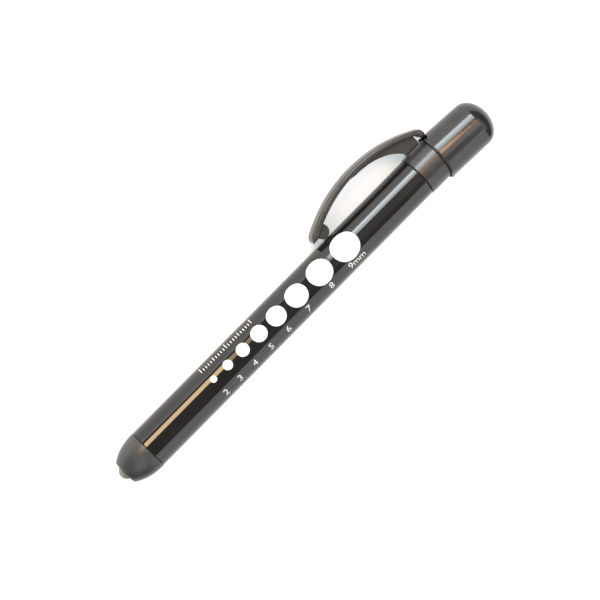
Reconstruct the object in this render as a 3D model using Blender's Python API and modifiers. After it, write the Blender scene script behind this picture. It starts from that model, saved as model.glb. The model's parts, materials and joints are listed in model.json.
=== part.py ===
"""LED diagnostic penlight with a pupil gauge barrel, a pocket clip and a push cap.

Every piece is drawn in the pen frame: the pen's axis is local Z, Z = 0 is the front face of the
nose, +Z runs to the cap, +Y points to the pocket clip and -X is the side with the gauge.
PEN then lays the pen on its side along world X, rolled until the clip rests on the ground.
"""
from math import asin, atan2, cos, pi, radians, sin

import bmesh
import bpy
from mathutils import Matrix, Vector

MM = 0.001

# Driving sizes, in metres
NOSE_LENGTH = 9.0 * MM
NOSE_RADIUS = 6.4 * MM
NOSE_OGIVE_LENGTH = 10.9 * MM
NOSE_OGIVE_START = 8.8 * MM
NOSE_OGIVE_END = radians(53.5)
NOSE_EDGE = 0.2 * MM
SLEEVE_SEAT = 7.0 * MM
THREAD_END = 16.5 * MM
THREAD_RADIUS = 5.25 * MM
LAMP_BORE = 2.75 * MM
LAMP_SEAT = 5.7 * MM
HOLDER_BORE = 4.3 * MM
SEAL_SECTION = 0.2 * MM
SEAL_SINK = 0.4 * MM

BARREL_FRONT = 9.5 * MM
BARREL_REAR = 120.0 * MM
BARREL_RADIUS = 6.35 * MM
BARREL_BORE = 5.55 * MM
BARREL_EDGE = 0.12 * MM

LED_RADIUS = 2.5 * MM
LED_TIP = -1.7 * MM
LED_FLANGE_RADIUS = 2.9 * MM
LED_FLANGE = 5.95 * MM
LED_BASE = 6.95 * MM
LEAD_PITCH = 1.27 * MM
LEAD_RADIUS = 0.25 * MM
CATHODE_OFFSET = 3.1 * MM
HOLDER_RADIUS = 4.0 * MM
HOLDER_FRONT = 7.3 * MM
HOLDER_REAR = 14.1 * MM
CONTACT_PLANE = 14.5 * MM

CELL_RADIUS = 5.2 * MM
CELL_LENGTH = 44.5 * MM
CELL_FRONT = 16.6 * MM
CELL_GAP = 0.3 * MM
CELL_BUTTON_RADIUS = 1.9 * MM
CELL_RECESS_RADIUS = 4.6 * MM

SPRING_WIRE = 0.3 * MM
TAIL_SPRING_REAR = 112.3 * MM
TAIL_SPRING_SMALL = 2.4 * MM
TAIL_SPRING_LARGE = 4.0 * MM
CUP_RADIUS = 4.5 * MM
CUP_FRONT = 112.5 * MM
CUP_REAR = 113.1 * MM
CARRIER_FRONT = 111.8 * MM
CARRIER_REAR = 114.7 * MM
CARRIER_RADIUS = 5.2 * MM
CARRIER_FLOOR = 113.35 * MM

BAND_FRONT = 120.3 * MM
BAND_REAR = 128.6 * MM
BAND_RADIUS = 6.55 * MM
BAND_SPIGOT_FRONT = 115.0 * MM
BAND_SPIGOT_RADIUS = 5.45 * MM
GUIDE_REAR = 131.0 * MM
GUIDE_RADIUS = 6.2 * MM
WEB_FRONT = 120.6 * MM
WEB_REAR = 122.6 * MM
WEB_HOLE = 1.55 * MM
BAND_SPIGOT_BORE = 4.4 * MM
GUIDE_BORE = 5.3 * MM
PAD_FRONT = 122.1 * MM
PAD_REAR = 127.3 * MM
PAD_TOP = 6.95 * MM
PAD_HALF_WIDTH = 2.3 * MM
PAD_CORNER = 1.0 * MM

CLIP_HALF_WIDTH = 2.9 * MM
CLIP_ARC_RADIUS = 44.9 * MM
CLIP_APEX_Z = 107.5 * MM
CLIP_APEX_Y = 16.12 * MM
CLIP_TIP = 84.5 * MM
CLIP_END = 130.15 * MM
CLIP_THICK_FRONT = 2.2 * MM
CLIP_THICK_REAR = 1.65 * MM
CLIP_TIP_ROUND = 2.6 * MM
CLIP_END_ROUND = 2.0 * MM
CLIP_EDGE = 0.4 * MM
RIB_HALF_WIDTH = 0.8 * MM
RIB_CENTRE_Z = 107.6 * MM
RIB_CENTRE_Y = 3.5 * MM
RIB_LENGTH = 15.7 * MM
RIB_HEIGHT = 9.95 * MM
NUB_HALF_WIDTH = 1.2 * MM
NUB_RADIUS = 2.4 * MM
NUB_FLANK_START = radians(182.0)
NUB_FLANK_END = radians(246.0)
NUB_CENTRE = Vector((0.0, 8.95 * MM, 88.6 * MM))
CLIP_HINGE = Vector((0.0, PAD_TOP + 0.15 * MM, PAD_REAR))

CAP_RIM = 127.9 * MM
CAP_LENGTH = 20.15 * MM
CAP_RIM_RADIUS = 7.45 * MM
CAP_TOP_RADIUS = 7.29 * MM
CAP_DOME_HEIGHT = 5.3 * MM
CAP_WALL = 0.53 * MM
CAP_LEAN = radians(3.0)
NOTCH_DEPTH = 2.0 * MM
NOTCH_HALF_WIDTH = 2.65 * MM
NOTCH_CORNER = 0.8 * MM
ROOF_OVER_DOME_START = 0.6 * MM
BOSS_RADIUS = 2.9 * MM
BOSS_BORE = 2.0 * MM
BOSS_FRONT = 134.0 * MM
BOSS_END = 141.0 * MM

ROD_RADIUS = 1.25 * MM
ROD_REAR = 139.0 * MM
ROD_TIP_RADIUS = 0.65 * MM
DISC_FRONT = 115.0 * MM
DISC_REAR = 115.8 * MM
DISC_RADIUS = 3.4 * MM
SLEEVE_RADIUS = 2.6 * MM
EARTH_WASHER_BORE = 2.0 * MM
EARTH_WASHER_RADIUS = 5.0 * MM
EARTH_WASHER_THICKNESS = 0.4 * MM
RETURN_SPRING_RADIUS = 4.2 * MM
RETURN_SPRING_TURNS = 8.0
TAIL_SPRING_TURNS = 5.0
CLOSED_TURNS = 0.9

# Pose on the ground: the clip hangs CLIP_DROP below level, so its edge touches the ground
CLIP_DROP = radians(16.9)
AXIS_Y = -4.117 * MM
AXIS_Z = 7.45 * MM
MID_LENGTH = 73.161 * MM

SEGMENTS = 48
INNER_SEGMENTS = 32
SMALL_SEGMENTS = 24
FINE = 0.0001 * MM

PEN = (
    Matrix.Translation((-MID_LENGTH, AXIS_Y, AXIS_Z))
    @ Matrix.Rotation(-CLIP_DROP, 4, "X")
    @ Matrix.Rotation(pi / 2, 4, "Y")
)


def clear_scene():
    for obj in list(bpy.data.objects):
        bpy.data.objects.remove(obj, do_unlink=True)


def new_collection(name):
    collection = bpy.data.collections.new(name)
    bpy.context.scene.collection.children.link(collection)
    return collection


def material(name, colour, roughness, metallic=0.0, transmission=0.0):
    made = bpy.data.materials.new(name)
    made.use_nodes = True
    shader = made.node_tree.nodes["Principled BSDF"]
    shader.inputs["Base Color"].default_value = (*colour, 1.0)
    shader.inputs["Roughness"].default_value = roughness
    shader.inputs["Metallic"].default_value = metallic
    shader.inputs["Transmission Weight"].default_value = transmission
    made.diffuse_color = (*colour, 1.0)
    return made


def place(obj, origin=Vector(), lean=0.0):
    """Puts an object whose mesh is relative to origin, a point of the pen frame."""
    obj.matrix_world = PEN @ Matrix.Translation(origin) @ Matrix.Rotation(lean, 4, "X")


def add_object(name, mesh, look, collection, origin=Vector(), lean=0.0):
    obj = bpy.data.objects.new(name, mesh)
    if look is not None:
        mesh.materials.append(look)
    collection.objects.link(obj)
    place(obj, origin, lean)
    return obj


def add_cutter(name, mesh, origin=Vector(), lean=0.0):
    cutter = add_object(name, mesh, None, CUTTERS, origin, lean)
    cutter.hide_render = True
    cutter.display_type = "WIRE"
    return cutter


def boolean(obj, cutter, operation):
    modifier = obj.modifiers.new(cutter.name, "BOOLEAN")
    modifier.object = cutter
    modifier.operation = operation
    modifier.solver = "EXACT"
    return modifier


def arc(centre_r, centre_z, radius_r, radius_z, start, end, count):
    """Points (r, z) of an elliptical arc between two angles, 0 along +r and pi/2 along +z."""
    step = (end - start) / count
    return [
        (centre_r + radius_r * cos(start + step * i), centre_z + radius_z * sin(start + step * i))
        for i in range(count + 1)
    ]


def turned(name, profile, look, closed=True, segments=SEGMENTS, origin=Vector(), lean=0.0):
    """Turns a profile of (r, z) about the pen's axis; it runs from +Z to -Z along its outer side."""
    mesh = bpy.data.meshes.new(name)
    shape = bmesh.new()
    points = [shape.verts.new((r, 0.0, z - origin.z)) for r, z in profile]
    for first, second in zip(points, points[1:]):
        shape.edges.new((first, second))
    if closed:
        shape.edges.new((points[-1], points[0]))
    shape.to_mesh(mesh)
    shape.free()
    obj = add_object(name, mesh, look, PARTS, origin, lean)
    screw = obj.modifiers.new("turn", "SCREW")
    screw.axis = "Z"
    screw.angle = 2 * pi
    screw.steps = segments
    screw.render_steps = segments
    screw.use_merge_vertices = True
    screw.merge_threshold = FINE
    screw.use_smooth_shade = True
    return obj


def ring(name, inner, outer, front, rear, look, segments=INNER_SEGMENTS):
    profile = [(outer, rear), (outer, front), (inner, front), (inner, rear)]
    return turned(name, profile, look, segments=segments)


def disc(name, radius, front, rear, look, segments=INNER_SEGMENTS):
    profile = [(0.0, rear), (radius, rear), (radius, front), (0.0, front)]
    return turned(name, profile, look, closed=False, segments=segments)


def plate_mesh(name, outline, half_width, origin=Vector()):
    """A flat plate: an outline of (z, y) points in the clip's plane, thick along the pen's X."""
    curve = bpy.data.curves.new(name, "CURVE")
    curve.dimensions = "2D"
    curve.fill_mode = "BOTH"
    curve.extrude = half_width
    spline = curve.splines.new("POLY")
    spline.points.add(len(outline) - 1)
    for point, (z, y) in zip(spline.points, outline):
        point.co = (z - origin.z, y - origin.y, 0.0, 1.0)
    spline.use_cyclic_u = True
    drawn = bpy.data.objects.new(name, curve)
    PARTS.objects.link(drawn)
    evaluated = drawn.evaluated_get(bpy.context.evaluated_depsgraph_get())
    mesh = bpy.data.meshes.new_from_object(evaluated)
    mesh.transform(Matrix.Rotation(-pi / 2, 4, "Y"))
    bpy.data.objects.remove(drawn, do_unlink=True)
    bpy.data.curves.remove(curve)
    shape = bmesh.new()
    shape.from_mesh(mesh)
    bmesh.ops.remove_doubles(shape, verts=shape.verts, dist=FINE)
    bmesh.ops.recalc_face_normals(shape, faces=shape.faces)
    shape.to_mesh(mesh)
    shape.free()
    return mesh


def rounded_box_mesh(name, low, high, radius, axis):
    """A box between two corners, with its four edges along one axis (0, 1 or 2) rounded."""
    shape = bmesh.new()
    bmesh.ops.create_cube(shape, size=1.0)
    size = high - low
    bmesh.ops.scale(shape, vec=size, verts=shape.verts)
    bmesh.ops.translate(shape, vec=(low + high) / 2, verts=shape.verts)
    along = [
        edge for edge in shape.edges
        if abs((edge.verts[0].co - edge.verts[1].co)[axis]) > size[axis] / 2
    ]
    bmesh.ops.bevel(
        shape, geom=along, offset=radius, segments=5, affect="EDGES", profile=0.5
    )
    mesh = bpy.data.meshes.new(name)
    shape.to_mesh(mesh)
    shape.free()
    return mesh


def wire(name, points, radius, look, resolution=2):
    """A round wire through the points, in the pen frame."""
    curve = bpy.data.curves.new(name, "CURVE")
    curve.dimensions = "3D"
    curve.bevel_depth = radius
    curve.bevel_resolution = resolution
    curve.use_fill_caps = True
    spline = curve.splines.new("POLY")
    spline.points.add(len(points) - 1)
    for point, place_at in zip(spline.points, points):
        point.co = (*place_at, 1.0)
    obj = bpy.data.objects.new(name, curve)
    curve.materials.append(look)
    PARTS.objects.link(obj)
    place(obj)
    return obj


def coil_points(front, rear, front_radius, rear_radius, turns, per_turn=12):
    """Centre line of a compression spring whose first and last turns lie almost flat."""
    count = int(turns * per_turn)
    closed_pitch = 0.12
    open_turns = turns - 2 * CLOSED_TURNS
    points = []
    for i in range(count + 1):
        turn = turns * i / count
        rise_in = min(turn, CLOSED_TURNS) * closed_pitch
        rise_out = max(turn - (turns - CLOSED_TURNS), 0.0) * closed_pitch
        climb = min(max(turn - CLOSED_TURNS, 0.0), open_turns) / open_turns
        share = rise_in + rise_out + climb * (1.0 - 2 * CLOSED_TURNS * closed_pitch)
        radius = front_radius + (rear_radius - front_radius) * share
        angle = 2 * pi * turn
        points.append((radius * cos(angle), radius * sin(angle), front + (rear - front) * share))
    return points


def make_nose_cone(look):
    """The ogive nose: a bore for the lamp, one for its holder and a seat for the thread sleeve."""
    ogive = arc(0.0, NOSE_OGIVE_START, NOSE_RADIUS, NOSE_OGIVE_LENGTH, 0.0, -NOSE_OGIVE_END, 10)
    face_radius = ogive[-1][0] - ogive[-1][1]
    seat_radius = THREAD_RADIUS + 0.1 * MM
    profile = [
        (NOSE_RADIUS - NOSE_EDGE / 2, NOSE_LENGTH),
        (NOSE_RADIUS, NOSE_LENGTH - NOSE_EDGE / 2),
        *ogive,
        (face_radius, 0.0),
        (LAMP_BORE + NOSE_EDGE / 2, 0.0),
        (LAMP_BORE, NOSE_EDGE / 2),
        (LAMP_BORE, LAMP_SEAT),
        (HOLDER_BORE, LAMP_SEAT),
        (HOLDER_BORE, SLEEVE_SEAT),
        (seat_radius, SLEEVE_SEAT),
        (seat_radius, NOSE_LENGTH),
    ]
    return turned("nose_cone", profile, look)


def make_thread_sleeve(look):
    front = SLEEVE_SEAT + 0.1 * MM
    profile = [
        (THREAD_RADIUS - NOSE_EDGE, THREAD_END),
        (THREAD_RADIUS, THREAD_END - NOSE_EDGE),
        (THREAD_RADIUS, front),
        (HOLDER_BORE, front),
        (HOLDER_BORE, THREAD_END),
    ]
    return turned("thread_sleeve", profile, look)


def make_nose_o_ring(look):
    gap_middle = (NOSE_LENGTH + BARREL_FRONT) / 2
    middle_radius = BARREL_RADIUS - SEAL_SINK
    section = arc(middle_radius, gap_middle, SEAL_SECTION, SEAL_SECTION, pi / 2, -1.5 * pi, 8)
    return turned("nose_o_ring", section[:-1], look)


def make_led_lens(look):
    dome = arc(0.0, LED_TIP + LED_RADIUS, LED_RADIUS, LED_RADIUS, 0.0, -pi / 2, 8)
    profile = [
        (0.0, LED_BASE),
        (LED_FLANGE_RADIUS, LED_BASE),
        (LED_FLANGE_RADIUS, LED_FLANGE),
        (LED_RADIUS, LED_FLANGE),
        *dome[:-1],
        (0.0, LED_TIP),
    ]
    return turned("led_lens", profile, look, closed=False, segments=INNER_SEGMENTS)


def make_led_leads(look):
    gap = 0.1 * MM
    start = LED_BASE + gap
    end = CONTACT_PLANE - gap
    bend_start = start + 1.2 * MM
    bend_end = start + 3.2 * MM
    wire("led_anode_lead", [(LEAD_PITCH, 0.0, start), (LEAD_PITCH, 0.0, end)], LEAD_RADIUS, look)
    bend = [
        (-LEAD_PITCH, 0.0, start),
        (-LEAD_PITCH, 0.0, bend_start),
        (-CATHODE_OFFSET, 0.0, bend_end),
        (-CATHODE_OFFSET, 0.0, end),
    ]
    wire("led_cathode_lead", bend, LEAD_RADIUS, look)


def make_led_holder(look):
    profile = [
        (0.0, HOLDER_REAR),
        (HOLDER_RADIUS, HOLDER_REAR),
        (HOLDER_RADIUS, HOLDER_FRONT),
        (0.0, HOLDER_FRONT),
    ]
    holder = turned("led_holder", profile, look, closed=False, segments=INNER_SEGMENTS)
    half = LEAD_RADIUS + 0.35 * MM
    corner = 0.35 * MM
    reach = 1.0 * MM
    low = Vector((LEAD_PITCH - half, -half, HOLDER_FRONT - reach))
    high = Vector((LEAD_PITCH + half, half, HOLDER_REAR + reach))
    anode_hole = add_cutter("anode_hole", rounded_box_mesh("anode_hole", low, high, corner, 2))
    boolean(holder, anode_hole, "DIFFERENCE")
    low.x = -CATHODE_OFFSET - half
    high.x = -LEAD_PITCH + half
    slot = add_cutter("cathode_slot", rounded_box_mesh("cathode_slot", low, high, corner, 2))
    boolean(holder, slot, "DIFFERENCE")
    return holder


def make_lamp_contacts(brass):
    ring_bore = 2.55 * MM
    ring_rear = CONTACT_PLANE + 0.6 * MM
    ring("ground_ring", ring_bore, HOLDER_RADIUS, CONTACT_PLANE, ring_rear, brass)
    base_radius = 2.1 * MM
    base_rear = CONTACT_PLANE + 0.7 * MM
    button_radius = 1.3 * MM
    button_end = CELL_FRONT - 0.3 * MM
    chamfer = 0.2 * MM
    profile = [
        (0.0, button_end),
        (button_radius - chamfer, button_end),
        (button_radius, button_end - chamfer),
        (button_radius, base_rear),
        (base_radius, base_rear),
        (base_radius, CONTACT_PLANE),
        (0.0, CONTACT_PLANE),
    ]
    turned("front_contact", profile, brass, closed=False, segments=INNER_SEGMENTS)


def make_barrel(look):
    profile = [
        (BARREL_RADIUS - BARREL_EDGE, BARREL_REAR),
        (BARREL_RADIUS, BARREL_REAR - BARREL_EDGE),
        (BARREL_RADIUS, BARREL_FRONT + BARREL_EDGE),
        (BARREL_RADIUS - BARREL_EDGE, BARREL_FRONT),
        (BARREL_BORE, BARREL_FRONT),
        (BARREL_BORE, BARREL_REAR),
    ]
    return turned("barrel", profile, look)


def make_cell(name, front, jacket, washer_look, terminal_look):
    """A size AAA dry cell: its can, the washer round its positive end and that end's cap."""
    button_height = 0.8 * MM
    shoulder = front + button_height
    crimp = 0.5 * MM
    gap = 0.1 * MM
    rear = front + CELL_LENGTH
    recess_floor = shoulder + 0.6 * MM
    can = [
        (0.0, rear),
        (CELL_RADIUS - crimp, rear),
        (CELL_RADIUS, rear - crimp),
        (CELL_RADIUS, shoulder + crimp),
        (CELL_RADIUS - crimp / 2, shoulder),
        (CELL_RECESS_RADIUS, shoulder),
        (CELL_RECESS_RADIUS, recess_floor),
        (0.0, recess_floor),
    ]
    turned(name + "_can", can, jacket, closed=False, segments=INNER_SEGMENTS)
    seat = recess_floor - gap
    chamfer = 0.2 * MM
    terminal = [
        (0.0, seat),
        (CELL_BUTTON_RADIUS, seat),
        (CELL_BUTTON_RADIUS, front + chamfer),
        (CELL_BUTTON_RADIUS - chamfer, front),
        (0.0, front),
    ]
    turned(name + "_terminal", terminal, terminal_look, closed=False, segments=SMALL_SEGMENTS)
    bore = CELL_BUTTON_RADIUS + 0.15 * MM
    ring(name + "_washer", bore, CELL_RECESS_RADIUS - gap, shoulder, seat, washer_look)


def make_cells(jacket, washer_look, terminal_look):
    make_cell("battery_front", CELL_FRONT, jacket, washer_look, terminal_look)
    second = CELL_FRONT + CELL_LENGTH + CELL_GAP
    make_cell("battery_rear", second, jacket, washer_look, terminal_look)


def make_tail_contacts(steel, brass, plastic):
    gap = 0.2 * MM
    cells_rear = CELL_FRONT + 2 * CELL_LENGTH + CELL_GAP
    front = cells_rear + gap + SPRING_WIRE
    rear = TAIL_SPRING_REAR - SPRING_WIRE
    points = coil_points(front, rear, TAIL_SPRING_SMALL, TAIL_SPRING_LARGE, TAIL_SPRING_TURNS)
    wire("tail_spring", points, SPRING_WIRE, steel)
    disc("spring_cup", CUP_RADIUS, CUP_FRONT, CUP_REAR, brass)
    cup_seat = CUP_RADIUS + 0.3 * MM
    opening = CUP_RADIUS - 0.6 * MM
    carrier = [
        (CARRIER_RADIUS, CARRIER_REAR),
        (CARRIER_RADIUS, CARRIER_FRONT),
        (cup_seat, CARRIER_FRONT),
        (cup_seat, CARRIER_FLOOR),
        (opening, CARRIER_FLOOR),
        (opening, CARRIER_REAR),
    ]
    turned("contact_carrier", carrier, plastic, segments=INNER_SEGMENTS)


def make_clip_band(look):
    edge = 0.15 * MM
    profile = [
        (GUIDE_RADIUS - edge, GUIDE_REAR),
        (GUIDE_RADIUS, GUIDE_REAR - edge),
        (GUIDE_RADIUS, BAND_REAR),
        (BAND_RADIUS - edge, BAND_REAR),
        (BAND_RADIUS, BAND_REAR - edge),
        (BAND_RADIUS, BAND_FRONT + edge),
        (BAND_RADIUS - edge, BAND_FRONT),
        (BAND_SPIGOT_RADIUS, BAND_FRONT),
        (BAND_SPIGOT_RADIUS, BAND_SPIGOT_FRONT),
        (BAND_SPIGOT_BORE, BAND_SPIGOT_FRONT),
        (BAND_SPIGOT_BORE, WEB_FRONT),
        (WEB_HOLE, WEB_FRONT),
        (WEB_HOLE, WEB_REAR),
        (GUIDE_BORE, WEB_REAR),
        (GUIDE_BORE, GUIDE_REAR),
    ]
    band = turned("clip_band", profile, look)
    pad_root = (GUIDE_BORE + GUIDE_RADIUS) / 2
    low = Vector((-PAD_HALF_WIDTH, pad_root, PAD_FRONT))
    high = Vector((PAD_HALF_WIDTH, PAD_TOP, PAD_REAR))
    pad = add_cutter("pad", rounded_box_mesh("pad", low, high, PAD_CORNER, 1))
    boolean(band, pad, "UNION")
    return band


def clip_outer_y(z):
    """Height over the pen's axis of the clip's back, a plain arc along the pen."""
    drop = CLIP_ARC_RADIUS - (CLIP_ARC_RADIUS**2 - (z - CLIP_APEX_Z) ** 2) ** 0.5
    return CLIP_APEX_Y - drop


def clip_inner_y(z):
    """Height of the clip's under face; the strip thins from its tip to its root."""
    share = (z - CLIP_TIP) / (CLIP_END - CLIP_TIP)
    thickness = CLIP_THICK_FRONT + (CLIP_THICK_REAR - CLIP_THICK_FRONT) * share
    slope = (z - CLIP_APEX_Z) / CLIP_ARC_RADIUS
    return clip_outer_y(z) - thickness / (1.0 - slope**2) ** 0.5


def spread(start, end, count):
    return [start + (end - start) * i / count for i in range(count + 1)]


def end_round(end_z, radius):
    """Centre (z, y) and slope angle of a corner that is tangent to an end face and to the back."""
    inward = 1.0 if end_z < CLIP_APEX_Z else -1.0
    centre_z = end_z + inward * radius
    along = centre_z - CLIP_APEX_Z
    rise = ((CLIP_ARC_RADIUS - radius) ** 2 - along**2) ** 0.5
    return centre_z, CLIP_APEX_Y - CLIP_ARC_RADIUS + rise, atan2(rise, along)


def clip_strip_outline():
    """Side view (z, y) of the strip, from the tip over the back to the rear end and back."""
    tip_z, tip_y, tip_angle = end_round(CLIP_TIP, CLIP_TIP_ROUND)
    end_z, end_y, end_angle = end_round(CLIP_END, CLIP_END_ROUND)
    tip_flat = 1.9 * MM
    tip_arc = arc(tip_z, tip_y, CLIP_TIP_ROUND, CLIP_TIP_ROUND, pi, tip_angle, 5)
    end_arc = arc(end_z, end_y, CLIP_END_ROUND, CLIP_END_ROUND, end_angle, 0.0, 5)
    back = [(z, clip_outer_y(z)) for z in spread(tip_arc[-1][0], end_arc[0][0], 22)]
    under = [(z, clip_inner_y(z)) for z in spread(PAD_REAR, NUB_CENTRE.z, 20)]
    return [
        *tip_arc,
        *back[1:-1],
        *end_arc,
        (CLIP_END - CLIP_END_ROUND / 2, end_y),
        *under,
        (CLIP_TIP + tip_flat, tip_y),
    ]


def clip_rib_outline():
    """Side view of the rib that carries the strip; its free edge is part of an ellipse."""
    foot = CLIP_HINGE.y
    foot_angle = asin((foot - RIB_CENTRE_Y) / RIB_HEIGHT)
    free_edge = arc(RIB_CENTRE_Z, RIB_CENTRE_Y, RIB_LENGTH, RIB_HEIGHT, pi / 2, foot_angle, 14)
    hidden = 0.6 * MM
    joined = spread(PAD_REAR - hidden, RIB_CENTRE_Z, 12)
    under = [(z, clip_inner_y(z) + hidden) for z in joined]
    return [
        *free_edge,
        (PAD_REAR, foot),
        (PAD_REAR, clip_inner_y(PAD_REAR) + hidden),
        *under,
    ]


def clip_nub_outline():
    """Side view of the nub under the tip: a disc with its front lower flank cut straight."""
    end = NUB_FLANK_START + 2 * pi
    return arc(NUB_CENTRE.z, NUB_CENTRE.y, NUB_RADIUS, NUB_RADIUS, NUB_FLANK_END, end, 24)


def make_pocket_clip(look):
    strip = plate_mesh("pocket_clip", clip_strip_outline(), CLIP_HALF_WIDTH, CLIP_HINGE)
    clip = add_object("pocket_clip", strip, look, PARTS, CLIP_HINGE)
    soften = clip.modifiers.new("edges", "BEVEL")
    soften.width = CLIP_EDGE
    soften.segments = 2
    soften.limit_method = "ANGLE"
    soften.angle_limit = radians(50)
    rib_mesh = plate_mesh("clip_rib", clip_rib_outline(), RIB_HALF_WIDTH, CLIP_HINGE)
    nub_mesh = plate_mesh("clip_nub", clip_nub_outline(), NUB_HALF_WIDTH, CLIP_HINGE)
    boolean(clip, add_cutter("clip_rib", rib_mesh, CLIP_HINGE), "UNION")
    boolean(clip, add_cutter("clip_nub", nub_mesh, CLIP_HINGE), "UNION")
    return clip


def make_push_cap(look):
    """The cap, drawn from its rim at Z = CAP_RIM and leant about the rim's centre."""
    tip = CAP_RIM + CAP_LENGTH
    dome_start = tip - CAP_DOME_HEIGHT
    dome = arc(0.0, dome_start, CAP_TOP_RADIUS, CAP_DOME_HEIGHT, pi / 2, 0.0, 10)
    bore = CAP_RIM_RADIUS - CAP_WALL
    roof = dome_start + ROOF_OVER_DOME_START
    roof_edge = bore - 1.4 * MM
    bore_end = dome_start - 2.0 * MM
    lip = 0.12 * MM
    profile = [
        (0.0, tip),
        *dome[1:],
        (CAP_RIM_RADIUS, CAP_RIM + lip),
        (CAP_RIM_RADIUS - lip, CAP_RIM),
        (bore, CAP_RIM),
        (bore, bore_end),
        (roof_edge, roof),
        (BOSS_RADIUS, roof),
        (BOSS_RADIUS, BOSS_FRONT),
        (BOSS_BORE, BOSS_FRONT),
        (BOSS_BORE, BOSS_END),
        (0.0, BOSS_END),
    ]
    rim_centre = Vector((0.0, 0.0, CAP_RIM))
    cap = turned("push_cap", profile, look, closed=False, origin=rim_centre, lean=CAP_LEAN)
    reach = 1.5 * MM
    low = Vector((-NOTCH_HALF_WIDTH, GUIDE_BORE, -reach))
    high = Vector((NOTCH_HALF_WIDTH, CAP_RIM_RADIUS + reach, NOTCH_DEPTH))
    notch_mesh = rounded_box_mesh("cap_notch", low, high, NOTCH_CORNER, 1)
    notch = add_cutter("cap_notch", notch_mesh, rim_centre, CAP_LEAN)
    boolean(cap, notch, "DIFFERENCE")
    return cap


def make_plunger(brass, plastic):
    chamfer = 0.2 * MM
    gap = 0.1 * MM
    profile = [
        (0.0, ROD_REAR),
        (ROD_RADIUS - chamfer, ROD_REAR),
        (ROD_RADIUS, ROD_REAR - chamfer),
        (ROD_RADIUS, DISC_REAR + gap),
        (ROD_TIP_RADIUS, DISC_REAR + gap),
        (ROD_TIP_RADIUS, DISC_FRONT - gap),
        (0.0, DISC_FRONT - gap),
    ]
    turned("plunger_rod", profile, brass, closed=False, segments=SMALL_SEGMENTS)
    ring("contact_disc", ROD_TIP_RADIUS + gap, DISC_RADIUS, DISC_FRONT, DISC_REAR, brass)
    sleeve_front = DISC_REAR + 1.5 * gap
    sleeve_rear = WEB_FRONT - 3 * gap
    ring("stop_sleeve", ROD_RADIUS + gap, SLEEVE_RADIUS, sleeve_front, sleeve_rear, plastic)


def make_return_spring(steel, brass):
    washer_front = WEB_REAR + 0.1 * MM
    washer_rear = washer_front + EARTH_WASHER_THICKNESS
    ring("earth_washer", EARTH_WASHER_BORE, EARTH_WASHER_RADIUS, washer_front, washer_rear, brass)
    front = washer_rear + SPRING_WIRE + 0.3 * MM
    roof = CAP_RIM + CAP_LENGTH - CAP_DOME_HEIGHT + ROOF_OVER_DOME_START
    rear = roof - SPRING_WIRE - 0.6 * MM
    radius = RETURN_SPRING_RADIUS
    points = coil_points(front, rear, radius, radius, RETURN_SPRING_TURNS)
    wire("return_spring", points, SPRING_WIRE, steel)


clear_scene()
PARTS = new_collection("pupil_gauge_penlight")
CUTTERS = new_collection("cutters")

gloss_black = material("barrel_gloss_black", (0.012, 0.011, 0.012), 0.12)
cap_black = material("cap_gloss_black", (0.016, 0.016, 0.017), 0.2)
nose_black = material("nose_satin_black", (0.045, 0.047, 0.048), 0.42)
band_black = material("band_satin_black", (0.03, 0.03, 0.031), 0.38)
clip_black = material("clip_satin_black", (0.038, 0.037, 0.036), 0.4)
rubber = material("seal_rubber", (0.01, 0.01, 0.01), 0.7)
epoxy = material("led_clear_epoxy", (0.55, 0.62, 0.58), 0.08, transmission=0.8)
tinned = material("lead_tinned_steel", (0.62, 0.62, 0.6), 0.3, 1.0)
white_plastic = material("holder_white_plastic", (0.8, 0.79, 0.76), 0.45)
brass_look = material("contact_brass", (0.75, 0.56, 0.27), 0.3, 1.0)
steel_look = material("spring_steel", (0.6, 0.6, 0.6), 0.28, 1.0)
jacket_look = material("cell_jacket", (0.16, 0.17, 0.19), 0.3, 0.6)
washer_plastic = material("cell_washer_plastic", (0.5, 0.07, 0.05), 0.5)
nickel = material("cell_nickel", (0.68, 0.66, 0.62), 0.25, 1.0)

make_nose_cone(nose_black)
make_thread_sleeve(brass_look)
make_nose_o_ring(rubber)
make_led_lens(epoxy)
make_led_leads(tinned)
make_led_holder(white_plastic)
make_lamp_contacts(brass_look)
make_barrel(gloss_black)
make_cells(jacket_look, washer_plastic, nickel)
make_tail_contacts(steel_look, brass_look, white_plastic)
make_clip_band(band_black)
make_pocket_clip(clip_black)
make_push_cap(cap_black)
make_plunger(brass_look, white_plastic)
make_return_spring(steel_look, brass_look)
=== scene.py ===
"""Looks of the pupil gauge penlight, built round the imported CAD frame.

Visual meshes are drawn in the pen frame, as the CAD was: local Z runs along the pen from the face
of the nose to the cap, +Y points to the pocket clip and -X is the side with the gauge.
"""

import json
from math import asin, atan2, cos, pi, radians, sin, sqrt, tan

import bmesh
import bpy
from mathutils import Matrix, Vector


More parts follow.
